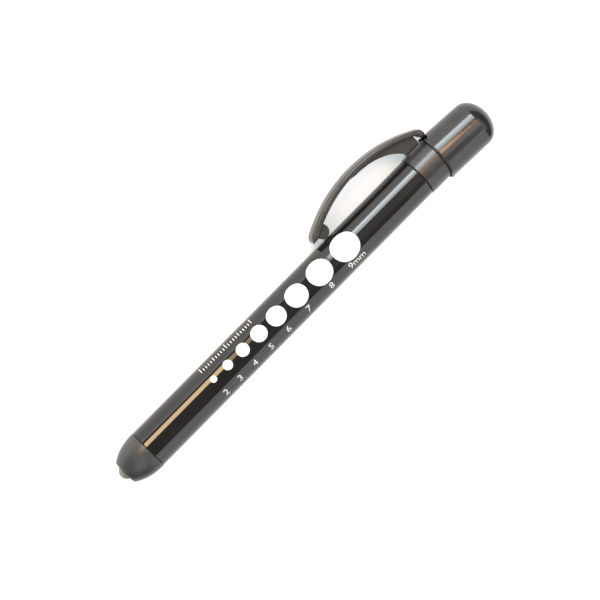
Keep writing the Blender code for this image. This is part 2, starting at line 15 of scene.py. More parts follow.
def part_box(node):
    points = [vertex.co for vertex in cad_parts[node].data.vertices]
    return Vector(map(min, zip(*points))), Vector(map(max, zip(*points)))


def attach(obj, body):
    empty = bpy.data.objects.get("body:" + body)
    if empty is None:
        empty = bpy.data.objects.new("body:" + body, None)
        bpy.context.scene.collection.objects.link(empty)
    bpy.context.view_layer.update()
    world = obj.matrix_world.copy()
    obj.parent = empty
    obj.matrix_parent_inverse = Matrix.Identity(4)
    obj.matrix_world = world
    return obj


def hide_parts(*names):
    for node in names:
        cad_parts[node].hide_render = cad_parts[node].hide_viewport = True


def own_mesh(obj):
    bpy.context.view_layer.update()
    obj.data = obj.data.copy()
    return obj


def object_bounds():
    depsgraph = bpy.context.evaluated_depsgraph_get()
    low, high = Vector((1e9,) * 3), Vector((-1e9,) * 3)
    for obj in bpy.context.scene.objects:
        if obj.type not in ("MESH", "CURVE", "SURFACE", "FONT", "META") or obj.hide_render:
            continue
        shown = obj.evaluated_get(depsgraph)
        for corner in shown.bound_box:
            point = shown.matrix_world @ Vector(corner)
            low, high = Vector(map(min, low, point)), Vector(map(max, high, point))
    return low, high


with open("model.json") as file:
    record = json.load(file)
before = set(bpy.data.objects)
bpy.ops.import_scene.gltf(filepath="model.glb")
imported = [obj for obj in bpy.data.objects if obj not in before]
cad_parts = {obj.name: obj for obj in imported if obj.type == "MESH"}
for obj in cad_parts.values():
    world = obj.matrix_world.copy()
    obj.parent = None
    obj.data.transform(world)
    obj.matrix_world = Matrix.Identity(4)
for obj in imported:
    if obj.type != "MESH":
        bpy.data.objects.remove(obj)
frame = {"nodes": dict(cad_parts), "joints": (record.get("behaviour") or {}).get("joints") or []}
CAD_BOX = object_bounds()

MM = 0.001


def joint(name):
    """The frame's entry for a joint."""
    return next(j for j in frame["joints"] if j["name"] == name)


def pen_matrix():
    """The pen frame in the row's frame, from the clip's hinge axis and two of the nodes."""
    side = Vector(joint("clip_flex")["axis"]).normalized()
    along = Vector((1.0, 0.0, 0.0))
    matrix = Matrix((side, along.cross(side), along)).transposed().to_4x4()
    low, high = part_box("barrel")
    middle = (low + high) / 2
    matrix.translation = (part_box("nose_cone")[0].x, middle.y, middle.z)
    return matrix


PEN = pen_matrix()


def along_pen(node, end):
    """Z in the pen frame of a node's front (0) or rear (1) end."""
    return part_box(node)[end].x - PEN.translation.x


# Sizes, in metres
BARREL_FRONT = along_pen("barrel", 0)
BARREL_REAR = along_pen("barrel", 1)
BARREL_RADIUS = 6.35 * MM
BARREL_BORE = 5.55 * MM
NOSE_LENGTH = 9.0 * MM
NOSE_RADIUS = 6.4 * MM
NOSE_OGIVE_LENGTH = 10.9 * MM
NOSE_OGIVE_START = 8.8 * MM
NOSE_OGIVE_END = radians(53.5)
THREAD_FRONT = along_pen("thread_sleeve", 0)
THREAD_END = along_pen("thread_sleeve", 1)
THREAD_RADIUS = 5.25 * MM
THREAD_PITCH = 1.0 * MM
LAMP_BORE = 2.75 * MM
LAMP_SEAT = 5.7 * MM
HOLDER_BORE = 4.3 * MM
LED_TIP = along_pen("led_lens", 0)
LED_BASE = along_pen("led_lens", 1)
LED_RADIUS = 2.5 * MM
LED_FLANGE_RADIUS = 2.9 * MM
BAND_FRONT = 120.3 * MM
BAND_REAR = 128.6 * MM
BAND_RADIUS = 6.55 * MM
BAND_SPIGOT_RADIUS = 5.45 * MM
BAND_SPIGOT_BORE = 4.4 * MM
GUIDE_RADIUS = 6.2 * MM
GUIDE_BORE = 5.3 * MM
WEB_FRONT = 120.6 * MM
WEB_REAR = 122.6 * MM
WEB_HOLE = 1.55 * MM
PAD_FRONT = 122.1 * MM
PAD_REAR = 127.3 * MM
PAD_TOP = 6.95 * MM
PAD_HALF_WIDTH = 2.3 * MM
CLIP_HALF_WIDTH = 2.9 * MM
CLIP_ARC_RADIUS = 44.9 * MM
CLIP_APEX_Z = 107.5 * MM
CLIP_APEX_Y = 16.12 * MM
CLIP_TIP = along_pen("pocket_clip", 0)
CLIP_END = along_pen("pocket_clip", 1)
CLIP_THICK_FRONT = 2.2 * MM
CLIP_THICK_REAR = 1.65 * MM
RIB_HALF_WIDTH = 0.8 * MM
NUB_HALF_WIDTH = 1.2 * MM
CAP_RIM = 127.9 * MM
CAP_LENGTH = 20.15 * MM
CAP_RIM_RADIUS = 7.45 * MM
CAP_TOP_RADIUS = 7.29 * MM
CAP_DOME_HEIGHT = 5.3 * MM
CAP_WALL = 0.53 * MM
CAP_LEAN = radians(3.0)
BOSS_RADIUS = 2.9 * MM
BOSS_BORE = 2.0 * MM
BOSS_FRONT = 6.1 * MM
BOSS_FLOOR = 13.1 * MM
SPRING_WIRE = 0.3 * MM
TAIL_SPRING_SMALL = 2.4 * MM
TAIL_SPRING_LARGE = 4.0 * MM
RETURN_SPRING_RADIUS = 4.2 * MM
TINY = 1e-7


# ---------------------------------------------------------------- meshes


def arc(centre_r, centre_z, radius_r, radius_z, start, end, count):
    """Points (r, z) of an elliptical arc between two angles, 0 along +r and pi/2 along +z."""
    step = (end - start) / count
    return [
        (centre_r + radius_r * cos(start + step * i), centre_z + radius_z * sin(start + step * i))
        for i in range(count + 1)
    ]


def spread(start, end, count):
    """Evenly spaced values from start to end, count steps apart."""
    return [start + (end - start) * i / count for i in range(count + 1)]


def filleted(points, radii, steps=4):
    """The open or closed polyline with each corner that has a radius rounded off."""
    made = []
    count = len(points)
    for i, (point, radius) in enumerate(zip(points, radii)):
        corner = Vector(point)
        if not radius:
            made.append(tuple(corner))
            continue
        before = (Vector(points[i - 1]) - corner).normalized()
        after = (Vector(points[(i + 1) % count]) - corner).normalized()
        half = before.angle(after) / 2
        reach = radius / max(abs(sin(half) / cos(half)), 0.2)
        start = corner + before * reach
        end = corner + after * reach
        for k in range(steps + 1):
            share = k / steps
            first = start.lerp(corner, share)
            second = corner.lerp(end, share)
            made.append(tuple(first.lerp(second, share)))
    return made


def lathe_into(shape, profile, closed=True, steps=160):
    """Adds a turned solid about Z; its (r, z) profile runs from +Z to -Z along the outer side."""
    rings = []
    for r, z in profile:
        if abs(r) < TINY:
            rings.append([shape.verts.new((0.0, 0.0, z))])
            continue
        turn = [2 * pi * i / steps for i in range(steps)]
        rings.append([shape.verts.new((r * cos(a), r * sin(a), z)) for a in turn])
    pairs = list(zip(rings, rings[1:]))
    if closed:
        pairs.append((rings[-1], rings[0]))
    for upper, lower in pairs:
        for i in range(steps):
            k = (i + 1) % steps
            corners = [upper[i % len(upper)], lower[i % len(lower)]]
            corners += [lower[k % len(lower)], upper[k % len(upper)]]
            face = list(dict.fromkeys(corners))
            if len(face) > 2:
                shape.faces.new(face)


def evaluated_mesh(thing):
    """The mesh that an object gives once its modifiers are applied."""
    bpy.context.view_layer.update()
    depsgraph = bpy.context.evaluated_depsgraph_get()
    return bpy.data.meshes.new_from_object(
        thing.evaluated_get(depsgraph), preserve_all_data_layers=True, depsgraph=depsgraph
    )


def shade(piece, sharp):
    """Smooth shading led by the large faces, so that edge rounds don't bend long reflections."""
    piece.data.shade_smooth()
    piece.data.set_sharp_from_angle(angle=radians(sharp))
    modifier = piece.modifiers.new("weighted", "WEIGHTED_NORMAL")
    modifier.keep_sharp = True
    shaded = evaluated_mesh(piece)
    piece.modifiers.clear()
    piece.data = shaded


def finished(name, shape, look, body, sharp=35.0, matrix=PEN):
    """Turns a bmesh into a shaded piece that rides on a body."""
    mesh = bpy.data.meshes.new(name)
    bmesh.ops.recalc_face_normals(shape, faces=shape.faces)
    shape.to_mesh(mesh)
    shape.free()
    piece = bpy.data.objects.new(name, mesh)
    mesh.materials.append(look)
    bpy.context.scene.collection.objects.link(piece)
    piece.matrix_world = matrix
    shade(piece, sharp)
    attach(piece, body)
    return piece


def turned(name, profile, look, body, closed=True, steps=160, sharp=35.0, matrix=PEN):
    """A turned piece that rides on a body."""
    shape = bmesh.new()
    lathe_into(shape, profile, closed, steps)
    return finished(name, shape, look, body, sharp, matrix)


def sweep_into(shape, centres, radius, sides=12):
    """Adds a round wire along the centres, with flat ends."""
    count = len(centres)
    previous = None
    side = None
    rings = []
    for i, centre in enumerate(centres):
        tangent = (centres[min(i + 1, count - 1)] - centres[max(i - 1, 0)]).normalized()
        if side is None:
            side = tangent.orthogonal().normalized()
        side = (side - tangent * side.dot(tangent)).normalized()
        other = tangent.cross(side)
        ring = [
            shape.verts.new(centre + (side * cos(a) + other * sin(a)) * radius)
            for a in (2 * pi * k / sides for k in range(sides))
        ]
        if previous:
            for k in range(sides):
                n = (k + 1) % sides
                shape.faces.new((previous[k], previous[n], ring[n], ring[k]))
        previous = ring
        rings.append(ring)
    shape.faces.new(reversed(rings[0]))
    shape.faces.new(rings[-1])


def slab_into(shape, outline, half_width, edge, segments=3):
    """Adds a plate of (z, y) outline, thick along X, with its two rims rounded."""
    face = shape.faces.new([shape.verts.new((-half_width, y, z)) for z, y in outline])
    made = bmesh.ops.extrude_face_region(shape, geom=[face])
    lifted = [g for g in made["geom"] if isinstance(g, bmesh.types.BMVert)]
    bmesh.ops.translate(shape, vec=(2 * half_width, 0.0, 0.0), verts=lifted)
    shape.normal_update()
    rims = set(face.edges)
    for top in [g for g in made["geom"] if isinstance(g, bmesh.types.BMFace)]:
        rims |= set(top.edges)
    if edge:
        bmesh.ops.bevel(
            shape, geom=list(rims), offset=edge, segments=segments, affect="EDGES",
            profile=0.5, clamp_overlap=True,
        )


def box_into(shape, low, high, radius, axis=None, segments=4):
    """Adds a box between two corners with its edges rounded, or only those along one axis."""
    made = bmesh.ops.create_cube(shape, size=1.0)
    verts = made["verts"]
    size = high - low
    bmesh.ops.scale(shape, vec=size, verts=verts)
    bmesh.ops.translate(shape, vec=(low + high) / 2, verts=verts)
    edges = {edge for vert in verts for edge in vert.link_edges}
    if axis is not None:
        edges = {
            e for e in edges if abs((e.verts[0].co - e.verts[1].co)[axis]) > size[axis] / 2
        }
    bmesh.ops.bevel(
        shape, geom=list(edges), offset=radius, segments=segments, affect="EDGES", profile=0.5
    )


def combine(piece, other_mesh, operation):
    """Applies a Boolean between the piece and a mesh in the same local frame."""
    tool = bpy.data.objects.new("tool", other_mesh)
    bpy.context.scene.collection.objects.link(tool)
    tool.matrix_world = piece.matrix_world
    modifier = piece.modifiers.new("cut", "BOOLEAN")
    modifier.object = tool
    modifier.operation = operation
    modifier.solver = "EXACT"
    result = evaluated_mesh(piece)
    piece.modifiers.clear()
    piece.data = result
    bpy.data.objects.remove(tool, do_unlink=True)


def mesh_of(builder):
    """A loose mesh from a function that fills a bmesh."""
    shape = bmesh.new()
    builder(shape)
    bmesh.ops.recalc_face_normals(shape, faces=shape.faces)
    mesh = bpy.data.meshes.new("tool")
    shape.to_mesh(mesh)
    shape.free()
    return mesh


# ---------------------------------------------------------------- materials


class Look:
    """A material with a Principled shader and a few node helpers."""

    def __init__(self, name, colour, roughness, metallic=0.0, ior=1.5):
        self.material = bpy.data.materials.new(name)
        self.material.use_nodes = True
        self.tree = self.material.node_tree
        self.shader = self.tree.nodes["Principled BSDF"]
        self.shader.inputs["Base Color"].default_value = (*colour, 1.0)
        self.shader.inputs["Roughness"].default_value = roughness
        self.shader.inputs["Metallic"].default_value = metallic
        self.shader.inputs["IOR"].default_value = ior
        self.coordinates = self.tree.nodes.new("ShaderNodeTexCoord")

    def link(self, source, target):
        self.tree.links.new(source, target)

    def mapped(self, scale):
        node = self.tree.nodes.new("ShaderNodeMapping")
        node.inputs["Scale"].default_value = scale
        self.link(self.coordinates.outputs["Object"], node.inputs["Vector"])
        return node.outputs["Vector"]

    def noise(self, scale, detail=3.0, stretch=(1.0, 1.0, 1.0), roughness=0.5):
        node = self.tree.nodes.new("ShaderNodeTexNoise")
        node.inputs["Scale"].default_value = scale
        node.inputs["Detail"].default_value = detail
        node.inputs["Roughness"].default_value = roughness
        self.link(self.mapped(stretch), node.inputs["Vector"])
        return node.outputs["Fac"]

    def ramp(self, source, low, high, start=0.0, end=1.0):
        node = self.tree.nodes.new("ShaderNodeMapRange")
        node.inputs["From Min"].default_value = low
        node.inputs["From Max"].default_value = high
        node.inputs["To Min"].default_value = start
        node.inputs["To Max"].default_value = end
        self.link(source, node.inputs["Value"])
        return node.outputs["Result"]

    def mix(self, factor, first, second):
        node = self.tree.nodes.new("ShaderNodeMix")
        node.data_type = "RGBA"
        node.inputs["A"].default_value = (*first, 1.0)
        node.inputs["B"].default_value = (*second, 1.0)
        self.link(factor, node.inputs["Factor"])
        return node.outputs["Result"]

    def math(self, operation, first, second):
        node = self.tree.nodes.new("ShaderNodeMath")
        node.operation = operation
        for socket, value in zip(node.inputs, (first, second)):
            if isinstance(value, (int, float)):
                socket.default_value = value
            else:
                self.link(value, socket)
        return node.outputs["Value"]

    def colour(self, source):
        self.link(source, self.shader.inputs["Base Color"])

    def roughness(self, source):
        self.link(source, self.shader.inputs["Roughness"])

    def bump(self, height, strength, distance):
        node = self.tree.nodes.new("ShaderNodeBump")
        node.inputs["Strength"].default_value = strength
        node.inputs["Distance"].default_value = distance
        self.link(height, node.inputs["Height"])
        self.link(node.outputs["Normal"], self.shader.inputs["Normal"])


def gloss_black():
    """Black enamel on the tube: deep gloss, a trace of orange peel, handling haze and hairlines."""
    look = Look("gloss_black_enamel", (0.01, 0.0095, 0.01), 0.07)
    haze = look.noise(180.0, 4.0, (1.0, 1.0, 0.35))
    tint = look.ramp(haze, 0.35, 0.75)
    look.colour(look.mix(tint, (0.008, 0.0077, 0.008), (0.014, 0.0135, 0.0135)))
    hairline = look.noise(900.0, 2.0, (1.0, 1.0, 0.03), 0.7)
    scratched = look.ramp(hairline, 0.66, 0.74, 0.0, 0.05)
    smudged = look.ramp(haze, 0.3, 0.8, 0.03, 0.09)
    look.roughness(look.math("ADD", smudged, scratched))
    look.bump(look.noise(1400.0, 2.0), 0.03, 0.02 * MM)
    return look.material


def satin_black(name, colour, roughness, grain=5200.0, depth=0.35):
    """Moulded or sprayed satin black: fine even grain, slight mottling and polished high spots."""
    look = Look(name, colour, roughness)
    mottle = look.noise(260.0, 4.0)
    light = tuple(c * 1.35 for c in colour)
    dark = tuple(c * 0.75 for c in colour)
    look.colour(look.mix(look.ramp(mottle, 0.3, 0.7), dark, light))
    look.roughness(look.ramp(mottle, 0.3, 0.7, roughness - 0.05, roughness + 0.06))
    look.bump(look.noise(grain, 2.0), depth, 0.012 * MM)
    return look.material


def cap_black():
    """The cap's semi-gloss black, with faint flow marks along it and handling wear."""
    look = Look("cap_semi_gloss_black", (0.016, 0.016, 0.017), 0.2)
    wear = look.noise(320.0, 5.0)
    look.colour(look.mix(look.ramp(wear, 0.35, 0.75), (0.012, 0.012, 0.013), (0.024, 0.023, 0.023)))
    flow = look.noise(700.0, 3.0, (1.0, 1.0, 0.08))
    base = look.ramp(wear, 0.3, 0.75, 0.1, 0.18)
    look.roughness(look.math("ADD", base, look.ramp(flow, 0.55, 0.75, 0.0, 0.05)))
    look.bump(look.noise(2600.0, 2.0), 0.08, 0.015 * MM)
    return look.material


def white_ink():
    """Screen-printed white: a matt film with pinholes of thinner ink."""
    look = Look("gauge_white_ink", (0.86, 0.87, 0.87), 0.42)
    cover = look.noise(4200.0, 3.0)
    look.colour(look.mix(look.ramp(cover, 0.25, 0.55), (0.74, 0.75, 0.76), (0.9, 0.9, 0.9)))
    look.roughness(look.ramp(cover, 0.3, 0.7, 0.36, 0.5))
    look.bump(cover, 0.15, 0.006 * MM)
    return look.material


def clear_epoxy():
    """The lamp's cast epoxy: glassy with a milky grey-green cast and faint casting ripples."""
    look = Look("led_clear_epoxy", (0.5, 0.58, 0.52), 0.03, ior=1.53)
    look.shader.inputs["Transmission Weight"].default_value = 0.6
    ripple = look.noise(500.0, 2.0)
    look.roughness(look.ramp(ripple, 0.3, 0.8, 0.02, 0.07))
    look.bump(ripple, 0.05, 0.01 * MM)
    return look.material


def metal(name, colour, roughness, turned_scale=0.0):
    """Plated or turned metal with tarnish and, if asked, fine turning marks along the axis."""
    look = Look(name, colour, roughness, metallic=1.0)
    tarnish = look.noise(500.0, 4.0)
    dull = tuple(c * 0.72 for c in colour)
    look.colour(look.mix(look.ramp(tarnish, 0.3, 0.75), dull, colour))
    look.roughness(look.ramp(tarnish, 0.3, 0.75, roughness + 0.08, roughness - 0.04))
    stretch = (0.05, 0.05, 1.0) if turned_scale else (1.0, 1.0, 1.0)
    marks = look.noise(turned_scale or 2500.0, 2.0, stretch)
    look.bump(marks, 0.12, 0.01 * MM)
    return look.material


def plain_plastic(name, colour, roughness):
    """Moulded plastic with a fine spark texture and slight colour variation."""
    look = Look(name, colour, roughness)
    mottle = look.noise(400.0, 3.0)
    dark = tuple(c * 0.88 for c in colour)
    look.colour(look.mix(look.ramp(mottle, 0.3, 0.7), dark, colour))
    look.roughness(look.ramp(mottle, 0.3, 0.7, roughness - 0.05, roughness + 0.05))
    look.bump(look.noise(6000.0, 2.0), 0.2, 0.01 * MM)
    return look.material


def cell_jacket():
    """A plain cell sleeve: dark grey print with a metallic sheen and rub marks."""
    look = Look("cell_sleeve", (0.1, 0.105, 0.115), 0.26, metallic=0.4)
    grain = look.noise(900.0, 3.0, (1.0, 1.0, 0.2))
    look.colour(look.mix(look.ramp(grain, 0.3, 0.7), (0.085, 0.09, 0.1), (0.13, 0.135, 0.145)))
    look.roughness(look.ramp(grain, 0.3, 0.7, 0.22, 0.34))
    look.bump(grain, 0.05, 0.01 * MM)
    return look.material


def phosphor():
    """The lamp's phosphor: a coarse yellow powder."""
    look = Look("led_phosphor", (0.9, 0.72, 0.12), 0.6)
    grain = look.noise(9000.0, 2.0)
    look.colour(look.mix(grain, (0.8, 0.6, 0.06), (0.95, 0.8, 0.2)))
    look.bump(grain, 0.3, 0.01 * MM)
    return look.material


BARREL_LOOK = gloss_black()
NOSE_LOOK = satin_black("nose_satin_black", (0.04, 0.043, 0.045), 0.36)
BAND_LOOK = satin_black("band_satin_black", (0.028, 0.028, 0.029), 0.27)
CLIP_LOOK = satin_black("clip_satin_black", (0.032, 0.031, 0.03), 0.3)
RUBBER_LOOK = satin_black("seal_rubber", (0.012, 0.012, 0.012), 0.65)
CAP_LOOK = cap_black()
INK_LOOK = white_ink()
EPOXY_LOOK = clear_epoxy()
TINNED_LOOK = metal("tinned_lead", (0.66, 0.66, 0.64), 0.3)
BRASS_LOOK = metal("turned_brass", (0.78, 0.58, 0.28), 0.26, 3500.0)
STEEL_LOOK = metal("spring_steel_plated", (0.62, 0.62, 0.61), 0.24)
NICKEL_LOOK = metal("cell_nickel", (0.7, 0.68, 0.64), 0.24)
WHITE_LOOK = plain_plastic("moulded_white", (0.8, 0.79, 0.76), 0.45)
RED_LOOK = plain_plastic("moulded_red", (0.5, 0.06, 0.04), 0.5)
JACKET_LOOK = cell_jacket()
PHOSPHOR_LOOK = phosphor()


# ---------------------------------------------------------------- pieces


def make_barrel():
    """The enamelled tube, with its end edges slightly rounded."""
    edge = 0.15 * MM
    corners = [
        (BARREL_RADIUS, BARREL_REAR),
        (BARREL_RADIUS, BARREL_FRONT),
        (BARREL_BORE, BARREL_FRONT),
        (BARREL_BORE, BARREL_REAR),
    ]
    profile = filleted(corners, [edge, edge, edge * 0.8, edge * 0.8])
    tube = turned("barrel_tube", profile, BARREL_LOOK, "pen", steps=192)
    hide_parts("barrel")


def helix_ridge_into(shape, radius, height, front, rear, pitch, per_turn=48):
    """Adds one screw thread ridge, tapering in and out at its ends."""
    turns = (rear - front) / pitch
    count = int(turns * per_turn)
    previous = None
    flank = pitch * 0.36
    for i in range(count + 1):
        turn = turns * i / count
        fade = min(1.0, turn * 3.0, (turns - turn) * 3.0)
        angle = 2 * pi * turn
        z = front + pitch * turn
        crest = radius + height * max(fade, 0.02)
        root = radius - 0.05 * MM
        section = [(root, z - flank), (crest, z - flank * 0.25), (crest, z + flank * 0.25)]
        section.append((root, z + flank))
        ring = [shape.verts.new((r * cos(angle), r * sin(angle), h)) for r, h in section]
        if previous:
            for k in range(4):
                n = (k + 1) % 4
                shape.faces.new((previous[k], previous[n], ring[n], ring[k]))
        else:
            shape.faces.new(ring)
        previous = ring
    shape.faces.new(list(reversed(previous)))


def make_nose_cone():
    """The ogive nose with its bores, the sleeve's seat and a thin lip over the seal."""
    edge = 0.15 * MM
    ogive = arc(0.0, NOSE_OGIVE_START, NOSE_RADIUS, NOSE_OGIVE_LENGTH, 0.0, -NOSE_OGIVE_END, 40)
    front_radius = ogive[-1][0]
    lip_rear = NOSE_LENGTH + 0.3 * MM
    lip_inside = NOSE_RADIUS - 0.2 * MM
    rear_edge = arc(NOSE_RADIUS - edge, lip_rear - edge, edge, edge, pi / 2, 0.0, 4)
    mouth = arc(LAMP_BORE + edge, edge, edge, edge, -pi / 2, -pi, 4)
    seat_radius = THREAD_RADIUS + 0.1 * MM
    profile = [
        *rear_edge,
        *ogive,
        (front_radius - 0.04 * MM, 0.015 * MM),
        (front_radius - 0.1 * MM, 0.0),
        *mouth,
        (LAMP_BORE, LAMP_SEAT),
        (HOLDER_BORE, LAMP_SEAT),
        (HOLDER_BORE, THREAD_FRONT - 0.1 * MM),
        (seat_radius, THREAD_FRONT - 0.1 * MM),
        (seat_radius, NOSE_LENGTH),
        (lip_inside, NOSE_LENGTH),
        (lip_inside, lip_rear),
    ]
    nose = turned("nose_cone_shell", profile, NOSE_LOOK, "nose", steps=192, sharp=30.0)
    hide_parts("nose_cone")


def make_thread_sleeve():
    """The brass sleeve that joins nose and barrel, with its relief groove and screw thread."""
    groove = 0.35 * MM
    root = THREAD_RADIUS - 0.15 * MM
    chamfer = 0.35 * MM
    profile = [
        (root - chamfer, THREAD_END),
        (root, THREAD_END - chamfer),
        (root, NOSE_LENGTH + 1.0 * MM),
        (root - groove / 2, NOSE_LENGTH + 0.9 * MM),
        (root - groove / 2, NOSE_LENGTH + 0.2 * MM),
        (THREAD_RADIUS, NOSE_LENGTH),
        (THREAD_RADIUS, THREAD_FRONT),
        (HOLDER_BORE, THREAD_FRONT),
        (HOLDER_BORE, THREAD_END),
    ]
    shape = bmesh.new()
    lathe_into(shape, profile, steps=160)
    first = NOSE_LENGTH + 1.4 * MM
    last = THREAD_END - 0.8 * MM
    helix_ridge_into(shape, root, 0.32 * MM, first, last, THREAD_PITCH)
    sleeve = finished("threaded_sleeve", shape, BRASS_LOOK, "nose", sharp=30.0)
    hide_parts("thread_sleeve")


def make_nose_o_ring():
    """The rubber ring in the joint between nose and barrel."""
    middle = (NOSE_LENGTH + BARREL_FRONT) / 2
    thickness = 0.21 * MM
    section = arc(BARREL_RADIUS - 0.4 * MM, middle, thickness, thickness, pi / 2, -1.5 * pi, 16)
    ring = turned("nose_seal", section[:-1], RUBBER_LOOK, "nose", sharp=80.0)
    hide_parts("nose_o_ring")


def make_led():
    """The lamp: a flanged epoxy dome over a cup, die, bond wire and two posts."""
    dome = arc(0.0, LED_TIP + LED_RADIUS, LED_RADIUS, LED_RADIUS, 0.0, -pi / 2, 32)
    flange = LED_BASE - 1.0 * MM
    profile = [
        (0.0, LED_BASE),
        (LED_FLANGE_RADIUS - 0.1 * MM, LED_BASE),
        (LED_FLANGE_RADIUS, LED_BASE - 0.1 * MM),
        (LED_FLANGE_RADIUS, flange + 0.1 * MM),
        (LED_FLANGE_RADIUS - 0.1 * MM, flange),
        (LED_RADIUS + 0.1 * MM, flange),
        (LED_RADIUS, flange - 0.1 * MM),
        *dome[:-1],
        (0.0, LED_TIP),
    ]
    lens = turned("led_epoxy_lens", profile, EPOXY_LOOK, "lamp", closed=False, steps=96, sharp=40.0)
    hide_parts("led_lens")
    make_led_inside()


def make_led_inside():
    """Cup and anode posts, phosphor and bond wire, all cast into the lens."""
    post_top = 3.0 * MM
    cup_rim = 2.4 * MM
    shape = bmesh.new()
    low = Vector((-1.5 * MM, -0.3 * MM, post_top))
    high = Vector((-0.15 * MM, 0.3 * MM, LED_BASE - 0.2 * MM))
    box_into(shape, low, high, 0.08 * MM)
    low = Vector((0.35 * MM, -0.25 * MM, post_top))
    high = Vector((1.5 * MM, 0.25 * MM, LED_BASE - 0.2 * MM))
    box_into(shape, low, high, 0.08 * MM)
    cup = [
        (0.0, post_top + 0.15 * MM),
        (0.55 * MM, post_top + 0.15 * MM),
        (0.85 * MM, cup_rim),
        (0.72 * MM, cup_rim),
        (0.4 * MM, cup_rim + 0.4 * MM),
        (0.0, cup_rim + 0.4 * MM),
    ]
    cup_shape = bmesh.new()
    lathe_into(cup_shape, cup, closed=False, steps=48)
    bmesh.ops.translate(cup_shape, vec=(-0.3 * MM, 0.0, 0.0), verts=cup_shape.verts)
    mesh = bpy.data.meshes.new("cup")
    cup_shape.to_mesh(mesh)
    cup_shape.free()
    shape.from_mesh(mesh)
    finished("led_posts_and_cup", shape, TINNED_LOOK, "lamp")
    bead = [(0.0, cup_rim + 0.38 * MM), (0.38 * MM, cup_rim + 0.38 * MM)]
    bead += arc(0.0, cup_rim + 0.3 * MM, 0.6 * MM, 0.28 * MM, 0.0, -pi / 2, 8)[:-1]
    bead.append((0.0, cup_rim + 0.02 * MM))
    shape = bmesh.new()
    lathe_into(shape, bead, closed=False, steps=48)
    bmesh.ops.translate(shape, vec=(-0.3 * MM, 0.0, 0.0), verts=shape.verts)
    finished("led_phosphor_bead", shape, PHOSPHOR_LOOK, "lamp")
    points = []
    for t in spread(0.0, 1.0, 16):
        bow = 0.5 * MM * sin(pi * t) * (1 - 0.4 * t)
        height = cup_rim + 0.05 * MM + 0.5 * MM * t - bow
        points.append(Vector((-0.3 * MM + 0.95 * MM * t, 0.0, height)))
    shape = bmesh.new()
    sweep_into(shape, points, 0.02 * MM, 8)
    finished("led_bond_wire", shape, BRASS_LOOK, "lamp")


def make_clip_band():
    """The band with its sleeve into the barrel, its guide in the cap, and the clip's pad."""
    edge = 0.12 * MM
    guide_rear = along_pen("clip_band", 1)
    spigot_front = along_pen("clip_band", 0)
    corners = [
        (GUIDE_RADIUS, guide_rear), (GUIDE_RADIUS, BAND_REAR), (BAND_RADIUS, BAND_REAR),
        (BAND_RADIUS, BAND_FRONT), (BAND_SPIGOT_RADIUS, BAND_FRONT),
        (BAND_SPIGOT_RADIUS, spigot_front), (BAND_SPIGOT_BORE, spigot_front),
        (BAND_SPIGOT_BORE, WEB_FRONT), (WEB_HOLE, WEB_FRONT), (WEB_HOLE, WEB_REAR),
        (GUIDE_BORE, WEB_REAR), (GUIDE_BORE, guide_rear),
    ]
    radii = [edge, 0, edge, edge, 0, edge, edge, 0, edge, edge, 0, edge]
    shape = bmesh.new()
    lathe_into(shape, filleted(corners, radii), steps=192)
    band = finished("clip_band_shell", shape, BAND_LOOK, "pen")
    low = Vector((-PAD_HALF_WIDTH, 5.7 * MM, PAD_FRONT))
    high = Vector((PAD_HALF_WIDTH, PAD_TOP, PAD_REAR))
    pad = bmesh.new()
    box_into(pad, low, high, 0.3 * MM, None, 5)
    finished("clip_pad", pad, BAND_LOOK, "pen", sharp=60.0)
    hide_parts("clip_band")


def clip_outer_y(z):
    """Height of the clip's back over the pen's axis."""
    drop = CLIP_ARC_RADIUS - sqrt(CLIP_ARC_RADIUS**2 - (z - CLIP_APEX_Z) ** 2)
    return CLIP_APEX_Y - drop


def clip_inner_y(z):
    """Height of the clip's under side, which thins towards the rear."""
    share = (z - CLIP_TIP) / (CLIP_END - CLIP_TIP)
    thickness = CLIP_THICK_FRONT + (CLIP_THICK_REAR - CLIP_THICK_FRONT) * share
    slope = (z - CLIP_APEX_Z) / CLIP_ARC_RADIUS
    return clip_outer_y(z) - thickness / sqrt(1.0 - slope**2)


def end_round(end_z, radius):
    """Centre (z, y) of a corner that is tangent to an end face and to the clip's back."""
    centre_z = end_z + (radius if end_z < CLIP_APEX_Z else -radius)
    along = centre_z - CLIP_APEX_Z
    rise = sqrt((CLIP_ARC_RADIUS - radius) ** 2 - along**2)
    return centre_z, CLIP_APEX_Y - CLIP_ARC_RADIUS + rise, atan2(rise, along)


TIP_ROUND = 2.6 * MM
END_ROUND = 2.0 * MM
TIP_Z, TIP_Y, TIP_ANGLE = end_round(CLIP_TIP, TIP_ROUND)
END_Z, END_Y, END_ANGLE = end_round(CLIP_END, END_ROUND)
HOOK_FRONT = 128.3 * MM
HOOK_NECK = 8.55 * MM
HOOK_FOOT = 7.75 * MM
HOOK_ROUND = 0.5 * MM
NUB_Z = 88.6 * MM
NUB_Y = 8.95 * MM
NUB_RADIUS = 2.4 * MM


def clip_top(z):
    """The clip's back, with its rounded tip and rear end."""
    if z < TIP_Z + TIP_ROUND * cos(TIP_ANGLE):
        return TIP_Y + sqrt(max(TIP_ROUND**2 - (z - TIP_Z) ** 2, 0.0))
    if z > END_Z + END_ROUND * cos(END_ANGLE):
        return END_Y + sqrt(max(END_ROUND**2 - (z - END_Z) ** 2, 0.0))
    return clip_outer_y(z)


